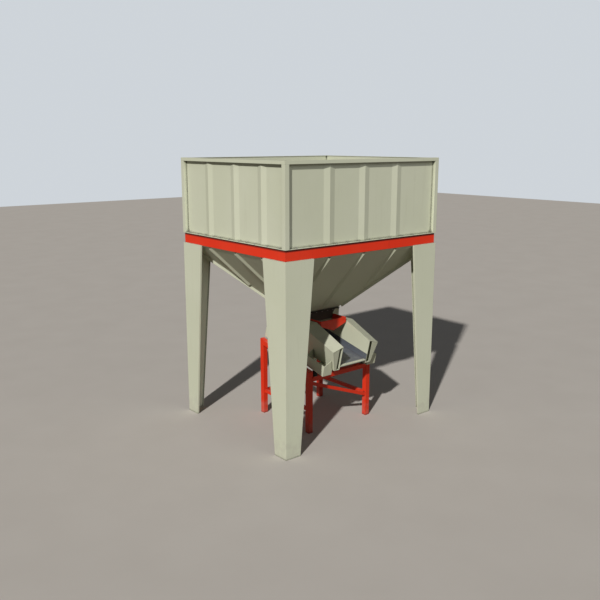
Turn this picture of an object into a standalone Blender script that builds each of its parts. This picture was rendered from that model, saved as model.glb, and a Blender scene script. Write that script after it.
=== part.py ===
"""Open-topped steel storage bunker on four tapered legs, with a pyramid hopper and a pan feeder.

Metres, +Z up. The origin is the centre of the bunker's footprint on the ground.
The front, where the feeder discharges, faces -Y.
"""

import math

import bmesh
import bpy
from mathutils import Vector

# Bunker envelope
WIDTH = 4.20
DEPTH = 3.60
RING_BOTTOM_Z = 3.90
RING_TOP_Z = 4.12
RIM_BOTTOM_Z = 5.665
RIM_TOP_Z = 5.730

# Bin walls, posts and ribs
PLATE = 0.008
WALL_RECESS = 0.080
POST_SIZE = 0.100
POST_WALL = 0.006
FRONT_RIB_PLACES = (0.27, 0.49, 0.71)
SIDE_RIB_PLACES = (0.27, 0.53, 0.78)
RIB_HALF_WIDTH = 0.150
RIB_DEPTH = 0.030
RIM_LEAF = 0.100

# Ring beam channel
RING_INSET = 0.030
RING_FLANGE = 0.065
RING_WEB = 0.009

# Legs
LEG_PLATE = 0.010
LEG_TOP_WIDTH = 0.70
LEG_FOOT_WIDTH = 0.36
LEG_LIP = 0.040

# Hopper and its outlet
HOPPER_INSET = 0.045
OUTLET_HALF_X = 0.455
OUTLET_HALF_Y = 0.420
OUTLET_Z = 2.45
HOPPER_RIB_DEPTH = 0.048
HOPPER_RIB_FROM_RING = 0.030
HOPPER_RIB_FROM_HIP = 0.120
HIP_FIN_HEIGHT = 0.055
HIP_FIN_THICKNESS = 0.012
HIP_FIN_FROM_RING = 0.200
HIP_FIN_FROM_OUTLET = 0.100
FLANGE_WIDTH = 0.045
FLANGE_THICKNESS = 0.012
NECK_INSET = 0.020
NECK_WAIST_Z = 2.33
NECK_BOTTOM_Z = 2.22

# Skirt box held by the neck, standing in the pan
SKIRT_HALF_X = 0.360
SKIRT_FRONT_Y = -0.82
SKIRT_BACK_Y = 0.43
SKIRT_TOP_Z = 2.32
SKIRT_EDGE_Z = 2.20
SKIRT_MIDDLE_Z = 2.07
SKIRT_PLATE = 0.008

# Feeder pan, sloping down to its lip
PAN_SLOPE = math.radians(13.0)
LIP_Y = -1.443
LIP_Z = 1.46
PAN_LENGTH = 2.10
PAN_INNER_HALF = 0.380
SIDE_FOOT_WIDTH = 0.140
SIDE_LEAN = 0.280
SIDE_FALL = 0.300
SIDE_LIP_HEIGHT = 0.480
SIDE_PEAK_HEIGHT = 0.640
SIDE_TAIL_HEIGHT = 0.363
SIDE_PEAK_PLACE = 0.900
SIDE_BELOW_FLOOR = 0.050
PAN_PLATE = 0.008
LINER = 0.012
CROSS_TUBE = 0.120
CROSS_TUBE_REACH = 0.720
BRACKET_HALF_LENGTH = 0.300
BRACKET_FACE_X = 0.760
BRACKET_FACE_TOP = 0.060
BRACKET_INNER_TOP = 0.160
BRACKET_PLATE = 0.012
ISOLATOR_X = 0.700
ISOLATOR_RADIUS = 0.060
ISOLATOR_HEIGHT = 0.130
ISOLATOR_SIDES = 16

# Feeder frame
FRAME_HALF_X = 0.84
FRAME_FRONT_Y = -1.00
FRAME_BACK_Y = 0.58
FRAME_SECTION = 0.110
FRAME_WALL = 0.006
FRONT_POST_TOP = 1.37
TIE_SECTION = 0.070
TIE_Z = 0.52
BRACE_HIGH_Z = 1.09
BRACE_LOW_Z = 0.50

# Separate pieces keep this gap; welded ones sink into each other by this depth
GAP = 0.0003
WELD = 0.002


def make_material(name, colour, roughness, metallic):
    material = bpy.data.materials.new(name)
    material.use_nodes = True
    shader = material.node_tree.nodes["Principled BSDF"]
    shader.inputs["Base Color"].default_value = (*colour, 1.0)
    shader.inputs["Roughness"].default_value = roughness
    shader.inputs["Metallic"].default_value = metallic
    material.diffuse_color = (*colour, 1.0)
    return material


def add_loft(bm, sections):
    """Join closed sections of equal length into one capped body."""
    rings = [[bm.verts.new(point) for point in section] for section in sections]
    count = len(rings[0])
    for lower, upper in zip(rings, rings[1:]):
        for i in range(count):
            j = (i + 1) % count
            bm.faces.new((lower[i], lower[j], upper[j], upper[i]))
    bm.faces.new(rings[0])
    bm.faces.new(rings[-1])


def add_tube(bm, outer_sections, inner_sections):
    """Join outer and inner sections into one open-ended hollow body."""
    outer = [[bm.verts.new(point) for point in section] for section in outer_sections]
    inner = [[bm.verts.new(point) for point in section] for section in inner_sections]
    count = len(outer[0])
    for i in range(count):
        j = (i + 1) % count
        for rings in (outer, inner):
            for lower, upper in zip(rings, rings[1:]):
                bm.faces.new((lower[i], lower[j], upper[j], upper[i]))
        for end in (0, -1):
            bm.faces.new((outer[end][i], outer[end][j], inner[end][j], inner[end][i]))


def finish_mesh(bm, name):
    bmesh.ops.recalc_face_normals(bm, faces=bm.faces)
    mesh = bpy.data.meshes.new(name)
    bm.to_mesh(mesh)
    bm.free()
    return mesh


def place(name, mesh, material, location=(0, 0, 0), turn=0.0, parent=None):
    if not mesh.materials:
        mesh.materials.append(material)
    part = bpy.data.objects.new(name, mesh)
    bpy.context.collection.objects.link(part)
    part.location = location
    part.rotation_euler = (0, 0, turn)
    part.parent = parent
    return part


def weld_on(part, label, mesh, location=(0, 0, 0), turn=0.0, parent=None):
    """Fuse a mesh of small members to the part that carries them."""
    members = place(f"{part.name}_{label}", mesh, part.data.materials[0], location, turn, parent)
    members.hide_render = True
    members.display_type = "WIRE"
    fuse = part.modifiers.new(label, "BOOLEAN")
    fuse.operation = "UNION"
    fuse.solver = "EXACT"
    fuse.use_self = True
    fuse.object = members


def rectangle(x0, x1, y0, y1, z):
    return [(x0, y0, z), (x1, y0, z), (x1, y1, z), (x0, y1, z)]


def strut_mesh(name, start, end, size):
    """Square tube between two points, its ends cut plumb."""
    start = Vector(start)
    end = Vector(end)
    run = Vector((end.x - start.x, end.y - start.y, 0))
    across = Vector((-run.y, run.x, 0)).normalized()
    stretch = math.hypot(1, (end.z - start.z) / run.length)

    def section(centre, wall):
        half = size / 2 - wall
        side = across * half
        rise = Vector((0, 0, half * stretch))
        return [centre - side - rise, centre + side - rise, centre + side + rise, centre - side + rise]

    bm = bmesh.new()
    ends = (start, end)
    add_tube(bm, [section(p, 0.0) for p in ends], [section(p, FRAME_WALL) for p in ends])
    return finish_mesh(bm, name)


def face_frames():
    """Name, length, location and turn of the four faces; each has its local -Y outwards."""
    return (
        ("front", WIDTH, (0, -DEPTH / 2, 0), 0.0),
        ("right", DEPTH, (WIDTH / 2, 0, 0), math.radians(90)),
        ("back", WIDTH, (0, DEPTH / 2, 0), math.radians(180)),
        ("left", DEPTH, (-WIDTH / 2, 0, 0), math.radians(-90)),
    )


def corner_frames():
    """Name, location and turn of the four corners; each has its local +X and +Y inwards."""
    x = WIDTH / 2
    y = DEPTH / 2
    return (
        ("front_left", (-x, -y, 0), 0.0),
        ("front_right", (x, -y, 0), math.radians(90)),
        ("back_right", (x, y, 0), math.radians(180)),
        ("back_left", (-x, y, 0), math.radians(-90)),
    )


def wall_mesh(length):
    """Folded panel: a plate with an outward flange along its foot."""
    inner = WALL_RECESS + PLATE
    foot = RING_TOP_Z + GAP
    top = RIM_TOP_Z - PLATE - GAP
    profile = (
        (inner, top),
        (WALL_RECESS, top),
        (WALL_RECESS, foot + PLATE),
        (0.0, foot + PLATE),
        (0.0, foot),
        (inner, foot),
    )
    half = length / 2 - POST_SIZE - GAP
    bm = bmesh.new()
    add_loft(bm, [[(x, y, z) for y, z in profile] for x in (-half, half)])
    return finish_mesh(bm, "wall")


def vee_profile(centre, crest, toe, half_width, thickness):
    """Folded vee laid toes down: its crest outwards at y = crest, its toes at y = toe."""
    slant = thickness * math.hypot(half_width, toe - crest)
    across = slant / (toe - crest)
    deep = slant / half_width
    return (
        (centre - half_width, toe),
        (centre, crest),
        (centre + half_width, toe),
        (centre + half_width - across, toe),
        (centre, crest + deep),
        (centre - half_width + across, toe),
    )


def rib_offsets(side):
    """Distances of one face's ribs from its middle, along the face."""
    if side in ("front", "back"):
        return [(share - 0.5) * WIDTH for share in FRONT_RIB_PLACES]
    return [(share - 0.5) * DEPTH for share in SIDE_RIB_PLACES]


def wall_ribs_mesh(side):
    bottom = RING_TOP_Z + PLATE - WELD
    top = RIM_BOTTOM_Z - GAP
    toe = WALL_RECESS + WELD
    bm = bmesh.new()
    for offset in rib_offsets(side):
        profile = vee_profile(offset, toe - RIB_DEPTH, toe, RIB_HALF_WIDTH, PLATE)
        add_loft(bm, [[(x, y, z) for x, y in profile] for z in (bottom, top)])
    return finish_mesh(bm, "wall_ribs")


def rim_mesh(length):
    """Angle along the top edge, its ends mitred at the corners."""
    profile = (
        (0.0, RIM_BOTTOM_Z),
        (PLATE, RIM_BOTTOM_Z),
        (PLATE, RIM_TOP_Z - PLATE),
        (RIM_LEAF, RIM_TOP_Z - PLATE),
        (RIM_LEAF, RIM_TOP_Z),
        (0.0, RIM_TOP_Z),
    )
    bm = bmesh.new()
    sections = []
    for sign in (-1, 1):
        sections.append([(sign * (length / 2 - y - GAP), y, z) for y, z in profile])
    add_loft(bm, sections)
    return finish_mesh(bm, "rim")


def ring_beam_mesh(length):
    """Channel with its web outwards, its ends mitred at the corners."""
    outer = RING_INSET
    inner = RING_INSET + RING_FLANGE
    bottom = RING_BOTTOM_Z
    top = RING_TOP_Z
    profile = (
        (outer, bottom),
        (inner, bottom),
        (inner, bottom + RING_WEB),
        (outer + RING_WEB, bottom + RING_WEB),
        (outer + RING_WEB, top - RING_WEB),
        (inner, top - RING_WEB),
        (inner, top),
        (outer, top),
    )
    sections = []
    for sign in (-1, 1):
        sections.append([(sign * (length / 2 - y - GAP), y, z) for y, z in profile])
    bm = bmesh.new()
    add_loft(bm, sections)
    return finish_mesh(bm, "ring_beam")


def corner_tube_mesh(name, bottom, top):
    bm = bmesh.new()
    outer = [rectangle(0, POST_SIZE, 0, POST_SIZE, z) for z in (bottom, top)]
    low = POST_WALL
    high = POST_SIZE - POST_WALL
    inner = [rectangle(low, high, low, high, z) for z in (bottom, top)]
    add_tube(bm, outer, inner)
    return finish_mesh(bm, name)


def leg_mesh():
    """Folded plate angle with a lip on both edges, tapering from the ring to the foot."""

    def section(width, z):
        edge = width - LEG_PLATE
        outline = (
            (0, 0),
            (width, 0),
            (width, LEG_LIP),
            (edge, LEG_LIP),
            (edge, LEG_PLATE),
            (LEG_PLATE, LEG_PLATE),
            (LEG_PLATE, edge),
            (LEG_LIP, edge),
            (LEG_LIP, width),
            (0, width),
        )
        return [(x, y, z) for x, y in outline]

    bm = bmesh.new()
    add_loft(bm, [section(LEG_FOOT_WIDTH, 0.0), section(LEG_TOP_WIDTH, RING_BOTTOM_Z - GAP)])
    return finish_mesh(bm, "leg")


def leg_cap_mesh():
    """Bearing strip inside the leg's top edge, under the ring beams."""
    near = WELD
    far = LEG_TOP_WIDTH - WELD
    outline = ((near, near), (far, near), (far, LEG_LIP), (LEG_LIP, LEG_LIP), (LEG_LIP, far), (near, far))
    top = RING_BOTTOM_Z - GAP
    bm = bmesh.new()
    add_loft(bm, [[(x, y, z) for x, y in outline] for z in (top - LEG_PLATE, top)])
    return finish_mesh(bm, "leg_cap")


def hopper_rectangle(z, inset=0.0):
    """Plan of the hopper's outer surface at height z: x0, x1, y0, y1; inset is normal to the plates."""
    half_x = WIDTH / 2 - HOPPER_INSET
    half_y = DEPTH / 2 - HOPPER_INSET
    drop = RING_BOTTOM_Z - OUTLET_Z
    share = (RING_BOTTOM_Z - z) / drop
    halves = []
    for high, low in ((half_x, OUTLET_HALF_X), (half_y, OUTLET_HALF_Y)):
        run = high - low
        halves.append(high - run * share - inset * math.hypot(run, drop) / drop)
    return -halves[0], halves[0], -halves[1], halves[1]


def hopper_edge(side, z, inset=0.0, trim=0.0):
    """The two ends of one hopper side at height z, trimmed back from the hips."""
    x0, x1, y0, y1 = hopper_rectangle(z, inset)
    ends = {
        "front": ((x0 + trim, y0, z), (x1 - trim, y0, z)),
        "right": ((x1, y0 + trim, z), (x1, y1 - trim, z)),
        "back": ((x1 - trim, y1, z), (x0 + trim, y1, z)),
        "left": ((x0, y1 - trim, z), (x0, y0 + trim, z)),
    }
    return [Vector(point) for point in ends[side]]


def hopper_plate_mesh(side):
    sections = []
    for z in (RING_BOTTOM_Z - GAP, OUTLET_Z + GAP):
        outer_a, outer_b = hopper_edge(side, z, 0.0, GAP)
        inner_a, inner_b = hopper_edge(side, z, PLATE, GAP)
        sections.append([outer_a, outer_b, inner_b, inner_a])
    bm = bmesh.new()
    add_loft(bm, sections)
    return finish_mesh(bm, "hopper_plate")


def hopper_normal(side):
    """Unit normal of one hopper side, pointing out and down."""
    top_a, top_b = hopper_edge(side, RING_BOTTOM_Z)
    bottom_a, _ = hopper_edge(side, OUTLET_Z)
    normal = (bottom_a - top_a).cross(top_b - top_a).normalized()
    return normal if normal.z < 0 else -normal


def hopper_ribs_mesh(side):
    """Angles laid toes down on one hopper side, straight down its slope until they meet a hip."""
    top_a, top_b = hopper_edge(side, RING_BOTTOM_Z)
    bottom_a, bottom_b = hopper_edge(side, OUTLET_Z)
    normal = hopper_normal(side)
    across = (top_b - top_a).normalized()
    down = normal.cross(across)
    if down.z > 0:
        down = -down
    length = (top_b - top_a).length
    slope_length = (bottom_a - top_a).dot(down)
    hip_run = (bottom_a - top_a).dot(across)
    mouth_end = hip_run + (bottom_b - bottom_a).dot(across)
    bm = bmesh.new()
    for offset in rib_offsets(side):
        at = length / 2 + offset
        reach = slope_length
        if at < hip_run:
            reach = slope_length * at / hip_run
        if at > mouth_end:
            reach = slope_length * (length - at) / hip_run
        start = top_a + across * at + down * HOPPER_RIB_FROM_RING
        end = top_a + across * at + down * (reach - HOPPER_RIB_FROM_HIP)
        sections = []
        for centre in (start, end):
            points = []
            for a, b in vee_profile(0.0, 0.0, HOPPER_RIB_DEPTH, HOPPER_RIB_DEPTH, PLATE):
                height = HOPPER_RIB_DEPTH - WELD - b
                points.append(centre + across * a + normal * height)
            sections.append(points)
        add_loft(bm, sections)
    return finish_mesh(bm, "hopper_ribs")


def hip_fins_mesh(side, neighbours):
    """Flange fins along the two hips of one side, halfway between it and its neighbours."""
    bm = bmesh.new()
    own = hopper_normal(side)
    for end, neighbour in enumerate(neighbours):
        other = hopper_normal(neighbour)
        outwards = (own + other).normalized()
        top = hopper_edge(side, RING_BOTTOM_Z)[end]
        bottom = hopper_edge(side, OUTLET_Z)[end]
        along = (bottom - top).normalized()
        thickness = along.cross(outwards).normalized()
        if thickness.dot(own) < 0:
            thickness = -thickness
        sections = []
        for centre in (top + along * HIP_FIN_FROM_RING, bottom - along * HIP_FIN_FROM_OUTLET):
            near = centre + thickness * GAP
            far = near + thickness * HIP_FIN_THICKNESS
            sink = -outwards * WELD * 2
            rise = outwards * HIP_FIN_HEIGHT
            sections.append([near + sink, far + sink, far + rise, near + rise])
        add_loft(bm, sections)
    return finish_mesh(bm, "hip_fins")


def outlet_rectangle(outset, z):
    x = OUTLET_HALF_X + outset
    y = OUTLET_HALF_Y + outset
    return rectangle(-x, x, -y, y, z)


def outlet_flange_mesh():
    """Flat ring under the hopper's mouth."""
    levels = (OUTLET_Z - FLANGE_THICKNESS, OUTLET_Z)
    bm = bmesh.new()
    add_tube(
        bm,
        [outlet_rectangle(FLANGE_WIDTH, z) for z in levels],
        [outlet_rectangle(-NECK_INSET - PLATE, z) for z in levels],
    )
    return finish_mesh(bm, "outlet_flange")


def outlet_neck_mesh():
    """Tube that narrows below the flange, then runs straight down inside the skirt box."""
    waist_x = SKIRT_HALF_X - SKIRT_PLATE - GAP
    mouth_x = OUTLET_HALF_X - NECK_INSET
    y = OUTLET_HALF_Y - NECK_INSET
    stations = (
        (NECK_BOTTOM_Z, waist_x),
        (NECK_WAIST_Z, waist_x),
        (OUTLET_Z - FLANGE_THICKNESS - GAP, mouth_x),
    )
    bm = bmesh.new()
    outer = [rectangle(-x, x, -y, y, z) for z, x in stations]
    inner = []
    for z, x in stations:
        inner.append(rectangle(PLATE - x, x - PLATE, PLATE - y, y - PLATE, z))
    add_tube(bm, outer, inner)
    return finish_mesh(bm, "outlet_neck")


def skirt_box_mesh():
    """Open box around the neck; its front and back plates reach lower along the middle."""

    def ring(inset, top):
        x = SKIRT_HALF_X - inset
        y0 = SKIRT_FRONT_Y + inset
        y1 = SKIRT_BACK_Y - inset
        corner = SKIRT_TOP_Z if top else SKIRT_EDGE_Z
        middle = SKIRT_TOP_Z if top else SKIRT_MIDDLE_Z
        return [
            (-x, y0, corner),
            (0.0, y0, middle),
            (x, y0, corner),
            (x, y1, corner),
            (0.0, y1, middle),
            (-x, y1, corner),
        ]

    bm = bmesh.new()
    add_tube(
        bm,
        [ring(0.0, False), ring(0.0, True)],
        [ring(SKIRT_PLATE, False), ring(SKIRT_PLATE, True)],
    )
    return finish_mesh(bm, "skirt_box")


def side_outer_x(z):
    """Distance of the leaning outer plate of a pan side from the pan's middle, at height z."""
    return PAN_INNER_HALF + SIDE_FOOT_WIDTH + SIDE_LEAN * (z + SIDE_BELOW_FLOOR)


def pan_side_mesh(sign):
    """Open-ended box beside the floor of the pan, in the pan's own frame.

    Its inner plate is upright, its top falls outwards and its outer plate leans in at the foot.
    The top rises from the lip to a peak, then runs down to the tail. All four plates are flat.
    """

    def section(y, height, wall):
        low = -SIDE_BELOW_FLOOR + wall
        inner = PAN_INNER_HALF + GAP + wall
        width = (side_outer_x(height) - PAN_INNER_HALF) / (1 + SIDE_LEAN * SIDE_FALL)
        outline = (
            (inner, low),
            (side_outer_x(low) - wall, low),
            (PAN_INNER_HALF + width - wall, height - SIDE_FALL * width - wall),
            (inner, height - wall),
        )
        return [(sign * x, y, z) for x, z in outline]

    stations = (
        (0.0, SIDE_LIP_HEIGHT),
        (SIDE_PEAK_PLACE, SIDE_PEAK_HEIGHT),
        (PAN_LENGTH, SIDE_TAIL_HEIGHT),
    )
    bm = bmesh.new()
    outer = [section(y, height, 0.0) for y, height in stations]
    inner = [section(y, height, PAN_PLATE) for y, height in stations]
    add_tube(bm, outer, inner)
    return finish_mesh(bm, "pan_side")


def add_box(bm, low, high):
    levels = (low[2], high[2])
    add_loft(bm, [rectangle(low[0], high[0], low[1], high[1], z) for z in levels])


def box_mesh(name, low, high):
    bm = bmesh.new()
    add_box(bm, low, high)
    return finish_mesh(bm, name)


def add_bracket(bm, sign, middle_y, seat):
    """Seat plate, face plate and two gussets that fill in between a cross tube's end and a pan side."""
    front = middle_y - BRACKET_HALF_LENGTH
    back = min(middle_y + BRACKET_HALF_LENGTH, PAN_LENGTH)
    side_x = side_outer_x(-SIDE_BELOW_FLOOR) + GAP
    face_x = BRACKET_FACE_X - BRACKET_PLATE
    near, far = sorted((sign * side_x, sign * BRACKET_FACE_X))
    add_box(bm, (near, front, seat), (far, back, seat + BRACKET_PLATE))
    near, far = sorted((sign * face_x, sign * BRACKET_FACE_X))
    add_box(bm, (near, front, seat + WELD), (far, back, BRACKET_FACE_TOP))
    outline = (
        (side_x, seat + WELD),
        (face_x + WELD, seat + WELD),
        (face_x + WELD, BRACKET_FACE_TOP - WELD),
        (side_outer_x(BRACKET_INNER_TOP) + GAP, BRACKET_INNER_TOP),
        (side_x, -SIDE_BELOW_FLOOR),
    )
    for y in (front, back - BRACKET_PLATE):
        levels = (y, y + BRACKET_PLATE)
        add_loft(bm, [[(sign * x, level, z) for x, z in outline] for level in levels])


def build_bin(materials):
    cream = materials["cream"]
    for name, length, location, turn in face_frames():
        wall = place(f"{name}_wall", wall_mesh(length), cream, location, turn)
        weld_on(wall, "ribs", wall_ribs_mesh(name), location, turn)
        place(f"{name}_rim", rim_mesh(length), cream, location, turn)
    post = corner_tube_mesh("post", RING_TOP_Z + GAP, RIM_BOTTOM_Z - GAP)
    for name, location, turn in corner_frames():
        place(f"corner_post_{name}", post, cream, location, turn)


def build_ring(materials):
    red = materials["red"]
    for name, length, location, turn in face_frames():
        place(f"{name}_ring_beam", ring_beam_mesh(length), red, location, turn)


def build_legs(materials):
    shape = leg_mesh()
    cap = leg_cap_mesh()
    for name, location, turn in corner_frames():
        leg = place(f"leg_{name}", shape, materials["cream"], location, turn)
        weld_on(leg, "cap", cap, location, turn)


def build_hopper(materials):
    cream = materials["cream"]
    neighbours = {"right": ("front", "back"), "left": ("back", "front")}
    for side in ("front", "right", "back", "left"):
        plate = place(f"{side}_hopper_plate", hopper_plate_mesh(side), cream)
        weld_on(plate, "ribs", hopper_ribs_mesh(side))
        if side in neighbours:
            weld_on(plate, "hip_fins", hip_fins_mesh(side, neighbours[side]))
    place("outlet_flange", outlet_flange_mesh(), materials["dark"])
    place("outlet_neck", outlet_neck_mesh(), materials["dark"])
    place("skirt_box", skirt_box_mesh(), materials["red"])


def cylinder_mesh(name, radius, low, high, sides):
    bm = bmesh.new()
    sections = []
    for z in (low, high):
        angles = [2 * math.pi * i / sides for i in range(sides)]
        sections.append([(radius * math.cos(a), radius * math.sin(a), z) for a in angles])
    add_loft(bm, sections)
    return finish_mesh(bm, name)


def build_pan(materials):
    cream = materials["cream"]
    red = materials["red"]
    tilt = bpy.data.objects.new("pan_tilt", None)
    bpy.context.collection.objects.link(tilt)
    tilt.location = (0, LIP_Y, LIP_Z)
    tilt.rotation_euler = (PAN_SLOPE, 0, 0)
    half = PAN_INNER_HALF
    tail = PAN_LENGTH - PAN_PLATE
    floor = box_mesh("pan_floor", (-half, 0.0, 0.0), (half, tail - GAP, LINER))
    place("pan_floor", floor, materials["liner"], parent=tilt)
    place("pan_left_side", pan_side_mesh(-1), cream, parent=tilt)
    place("pan_right_side", pan_side_mesh(1), cream, parent=tilt)
    back = box_mesh("pan_back_plate", (-half, tail, 0.0), (half, PAN_LENGTH, SIDE_TAIL_HEIGHT))
    place("pan_back_plate", back, cream, parent=tilt)

    # Cross tubes, isolators and frame beams all lie at the slope of the pan
    tube_z = -SIDE_BELOW_FLOOR - GAP - CROSS_TUBE / 2
    seat = tube_z - CROSS_TUBE / 2 - GAP
    foot = seat - ISOLATOR_HEIGHT
    beam_z = foot - GAP - FRAME_SECTION / 2
    beam_end = FRAME_HALF_X - FRAME_SECTION / 2 - GAP
    buffer = cylinder_mesh("isolator", ISOLATOR_RADIUS, foot, seat, ISOLATOR_SIDES)
    for row, row_y in (("front", FRAME_FRONT_Y), ("back", FRAME_BACK_Y)):
        y = (row_y - LIP_Y + beam_z * math.sin(PAN_SLOPE)) / math.cos(PAN_SLOPE)
        start = (-CROSS_TUBE_REACH, y, tube_z)
        end = (CROSS_TUBE_REACH, y, tube_z)
        mesh = strut_mesh("pan_cross_tube", start, end, CROSS_TUBE)
        tube = place(f"pan_{row}_cross_tube", mesh, cream, parent=tilt)
        for side, sign in (("left", -1), ("right", 1)):
            bm = bmesh.new()
            add_bracket(bm, sign, y, tube_z - CROSS_TUBE / 2)
            weld_on(tube, f"{side}_bracket", finish_mesh(bm, "bracket"), parent=tilt)
        beam = strut_mesh("frame_beam", (-beam_end, y, beam_z), (beam_end, y, beam_z), FRAME_SECTION)
        place(f"frame_{row}_beam", beam, red, parent=tilt)
        for side, x in (("left", -ISOLATOR_X), ("right", ISOLATOR_X)):
            place(f"isolator_{row}_{side}", buffer, materials["rubber"], (x, y, 0), parent=tilt)


def post_top_z(y):
    return FRONT_POST_TOP + (y - FRAME_FRONT_Y) * math.tan(PAN_SLOPE)


def frame_post_mesh(row_y):
    """Square post from the ground, its top cut to the slope of the rails."""
    half = FRAME_SECTION / 2

    def ring(size, top):
        points = []
        for x, y, _ in rectangle(-size, size, -size, size, 0.0):
            points.append((x, y, post_top_z(row_y + y) if top else 0.0))
        return points

    bm = bmesh.new()
    inner = half - FRAME_WALL
    add_tube(
        bm,
        [ring(half, False), ring(half, True)],
        [ring(inner, False), ring(inner, True)],
    )
    return finish_mesh(bm, "frame_post")


def build_feeder_frame(materials):
    red = materials["red"]
    half = FRAME_SECTION / 2
    rail_drop = half / math.cos(PAN_SLOPE)
    front = FRAME_FRONT_Y + half + GAP
    back = FRAME_BACK_Y - half - GAP
    inner_x = FRAME_HALF_X - half - GAP

    for row, y in (("front", FRAME_FRONT_Y), ("back", FRAME_BACK_Y)):
        post = frame_post_mesh(y)
        for side, x in (("left", -FRAME_HALF_X), ("right", FRAME_HALF_X)):
            place(f"frame_post_{row}_{side}", post, red, (x, y, 0))

    for side, x in (("left", -FRAME_HALF_X), ("right", FRAME_HALF_X)):
        start = (x, front, post_top_z(front) - rail_drop)
        end = (x, back, post_top_z(back) - rail_drop)
        place(f"frame_{side}_rail", strut_mesh("frame_rail", start, end, FRAME_SECTION), red)
        tie = strut_mesh("frame_tie", (x, front, TIE_Z), (x, back, TIE_Z), TIE_SECTION)
        place(f"frame_{side}_tie", tie, red)

    start = (-inner_x, FRAME_BACK_Y, TIE_Z)
    end = (inner_x, FRAME_BACK_Y, TIE_Z)
    place("frame_back_tie", strut_mesh("frame_tie", start, end, TIE_SECTION), red)
    start = (-inner_x, FRAME_FRONT_Y, BRACE_HIGH_Z)
    end = (inner_x, FRAME_FRONT_Y, BRACE_LOW_Z)
    place("frame_front_brace", strut_mesh("frame_brace", start, end, TIE_SECTION), red)


def clear_scene():
    for old in list(bpy.data.objects):
        bpy.data.objects.remove(old, do_unlink=True)


def main():
    clear_scene()
    materials = {
        "cream": make_material("cream_paint", (0.52, 0.52, 0.40), 0.5, 0.0),
        "red": make_material("red_paint", (0.80, 0.09, 0.03), 0.45, 0.0),
        "dark": make_material("bare_steel", (0.10, 0.09, 0.08), 0.6, 0.6),
        "rubber": make_material("rubber", (0.02, 0.02, 0.02), 0.8, 0.0),
        "liner": make_material("liner_steel", (0.14, 0.15, 0.17), 0.4, 0.8),
    }
    build_bin(materials)
    build_ring(materials)
    build_legs(materials)
    build_hopper(materials)
    build_pan(materials)
    build_feeder_frame(materials)


main()
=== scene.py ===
import math

import bmesh
import bpy
import numpy as np
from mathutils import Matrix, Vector


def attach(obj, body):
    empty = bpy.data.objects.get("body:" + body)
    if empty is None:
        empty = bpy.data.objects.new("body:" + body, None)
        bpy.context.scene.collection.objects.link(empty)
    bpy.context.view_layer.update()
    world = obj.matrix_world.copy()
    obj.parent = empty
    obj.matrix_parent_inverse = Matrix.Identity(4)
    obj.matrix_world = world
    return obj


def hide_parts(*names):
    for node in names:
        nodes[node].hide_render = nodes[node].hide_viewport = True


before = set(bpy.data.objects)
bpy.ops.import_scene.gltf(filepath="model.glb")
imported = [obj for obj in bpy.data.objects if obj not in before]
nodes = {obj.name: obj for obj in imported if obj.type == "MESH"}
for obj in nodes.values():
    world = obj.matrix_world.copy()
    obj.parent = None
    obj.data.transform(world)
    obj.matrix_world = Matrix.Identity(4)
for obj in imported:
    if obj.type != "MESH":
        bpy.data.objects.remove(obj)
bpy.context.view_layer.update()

# Camera
# A viewer stands off the front left corner of the bunker and looks slightly down on it.
camera_data = bpy.data.cameras.new("camera")
camera_data.lens = 43.22
camera_data.sensor_width = 36
camera = bpy.data.objects.new("camera", camera_data)
camera.location = (-10.181, -11.993, 6.047)
camera.rotation_euler = (math.radians(90 - 12.335), 0, math.radians(50.41 - 90))
bpy.context.collection.objects.link(camera)
bpy.context.scene.camera = camera
bpy.context.scene.view_settings.view_transform = "Standard"

# Light
# A low key light from the left, a weak fill beside the viewer and an even pale surround.
# The fill reaches the bin, the ring and the legs only, so that it doesn't shine in under the hopper.
fill_reach = bpy.data.collections.new("fill_reach")
for name in nodes:
    if name.endswith(("_wall", "_rim", "_ring_beam")) or name.startswith(("corner_post", "leg_")):
        fill_reach.objects.link(nodes[name])
for light_name, strength, spread, tint, heading in (
    ("key_light", 2.82, 1.6, (1.0, 0.98, 0.93), (0.705, 0.439, -0.559)),
    ("fill_light", 0.50, 30.0, (0.95, 0.98, 1.0), (0.30, 0.82, -0.48)),
):
    light_data = bpy.data.lights.new(light_name, "SUN")
    light_data.energy = strength
    light_data.angle = math.radians(spread)
    light_data.color = tint
    light = bpy.data.objects.new(light_name, light_data)
    light.rotation_euler = Vector(heading).to_track_quat("-Z", "Y").to_euler()
    bpy.context.collection.objects.link(light)
    if light_name == "fill_light":
        light.light_linking.receiver_collection = fill_reach

surround = bpy.data.worlds.new("surround")
surround.use_nodes = True
surround_tree = surround.node_tree
surround_tree.nodes["Background"].inputs["Color"].default_value = (0.93, 0.97, 1.0, 1.0)
surround_tree.nodes["Background"].inputs["Strength"].default_value = 0.098
backdrop = surround_tree.nodes.new("ShaderNodeBackground")
backdrop.inputs["Color"].default_value = (0.62, 0.66, 0.70, 1.0)
seen = surround_tree.nodes.new("ShaderNodeLightPath")
either = surround_tree.nodes.new("ShaderNodeMixShader")
surround_tree.links.new(seen.outputs["Is Camera Ray"], either.inputs[0])
surround_tree.links.new(surround_tree.nodes["Background"].outputs[0], either.inputs[1])
surround_tree.links.new(backdrop.outputs[0], either.inputs[2])
surround_tree.links.new(either.outputs[0], surround_tree.nodes["World Output"].inputs["Surface"])
bpy.context.scene.world = surround

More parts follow.
